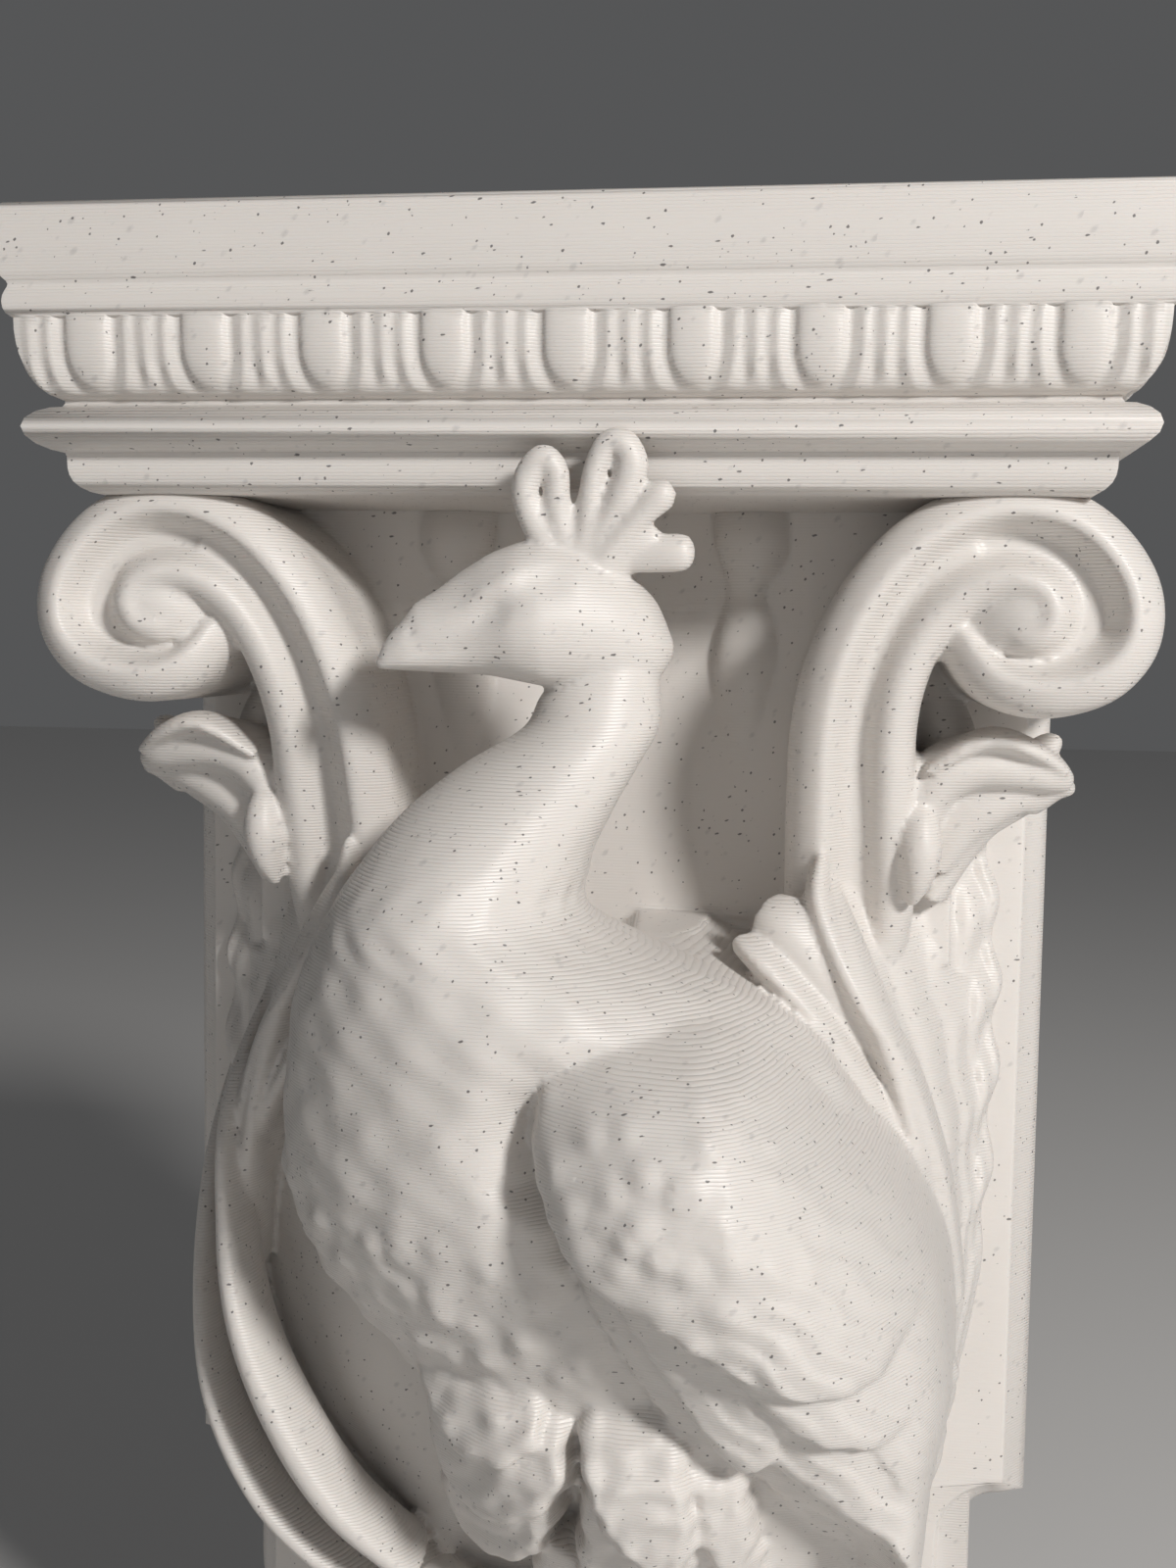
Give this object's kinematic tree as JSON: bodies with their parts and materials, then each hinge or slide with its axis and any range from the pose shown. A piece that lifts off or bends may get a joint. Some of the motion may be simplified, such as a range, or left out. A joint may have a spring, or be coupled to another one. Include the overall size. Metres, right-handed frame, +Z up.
{
  "type": "corbel shelf",
  "caption": "Small off-white printed corbel shelf: moulded slab on two scroll volutes and acanthus, with a peacock standing out from the bracket.",
  "frame": {"origin": "middle of the flat back's width, on the wall plane, 40 mm under the lowest moulding of the shelf", "axes": "+X to the viewer's right, +Y into the wall, +Z up"},
  "size_m": [0.0702, 0.0391, 0.114],
  "materials": {
    "plastic": "off-white PLA with dark flecks, satin, 0.2 mm layer lines"
  },
  "bodies": {
    "root": {"corbel_shelf": "plastic"}
  },
  "joints": []
}
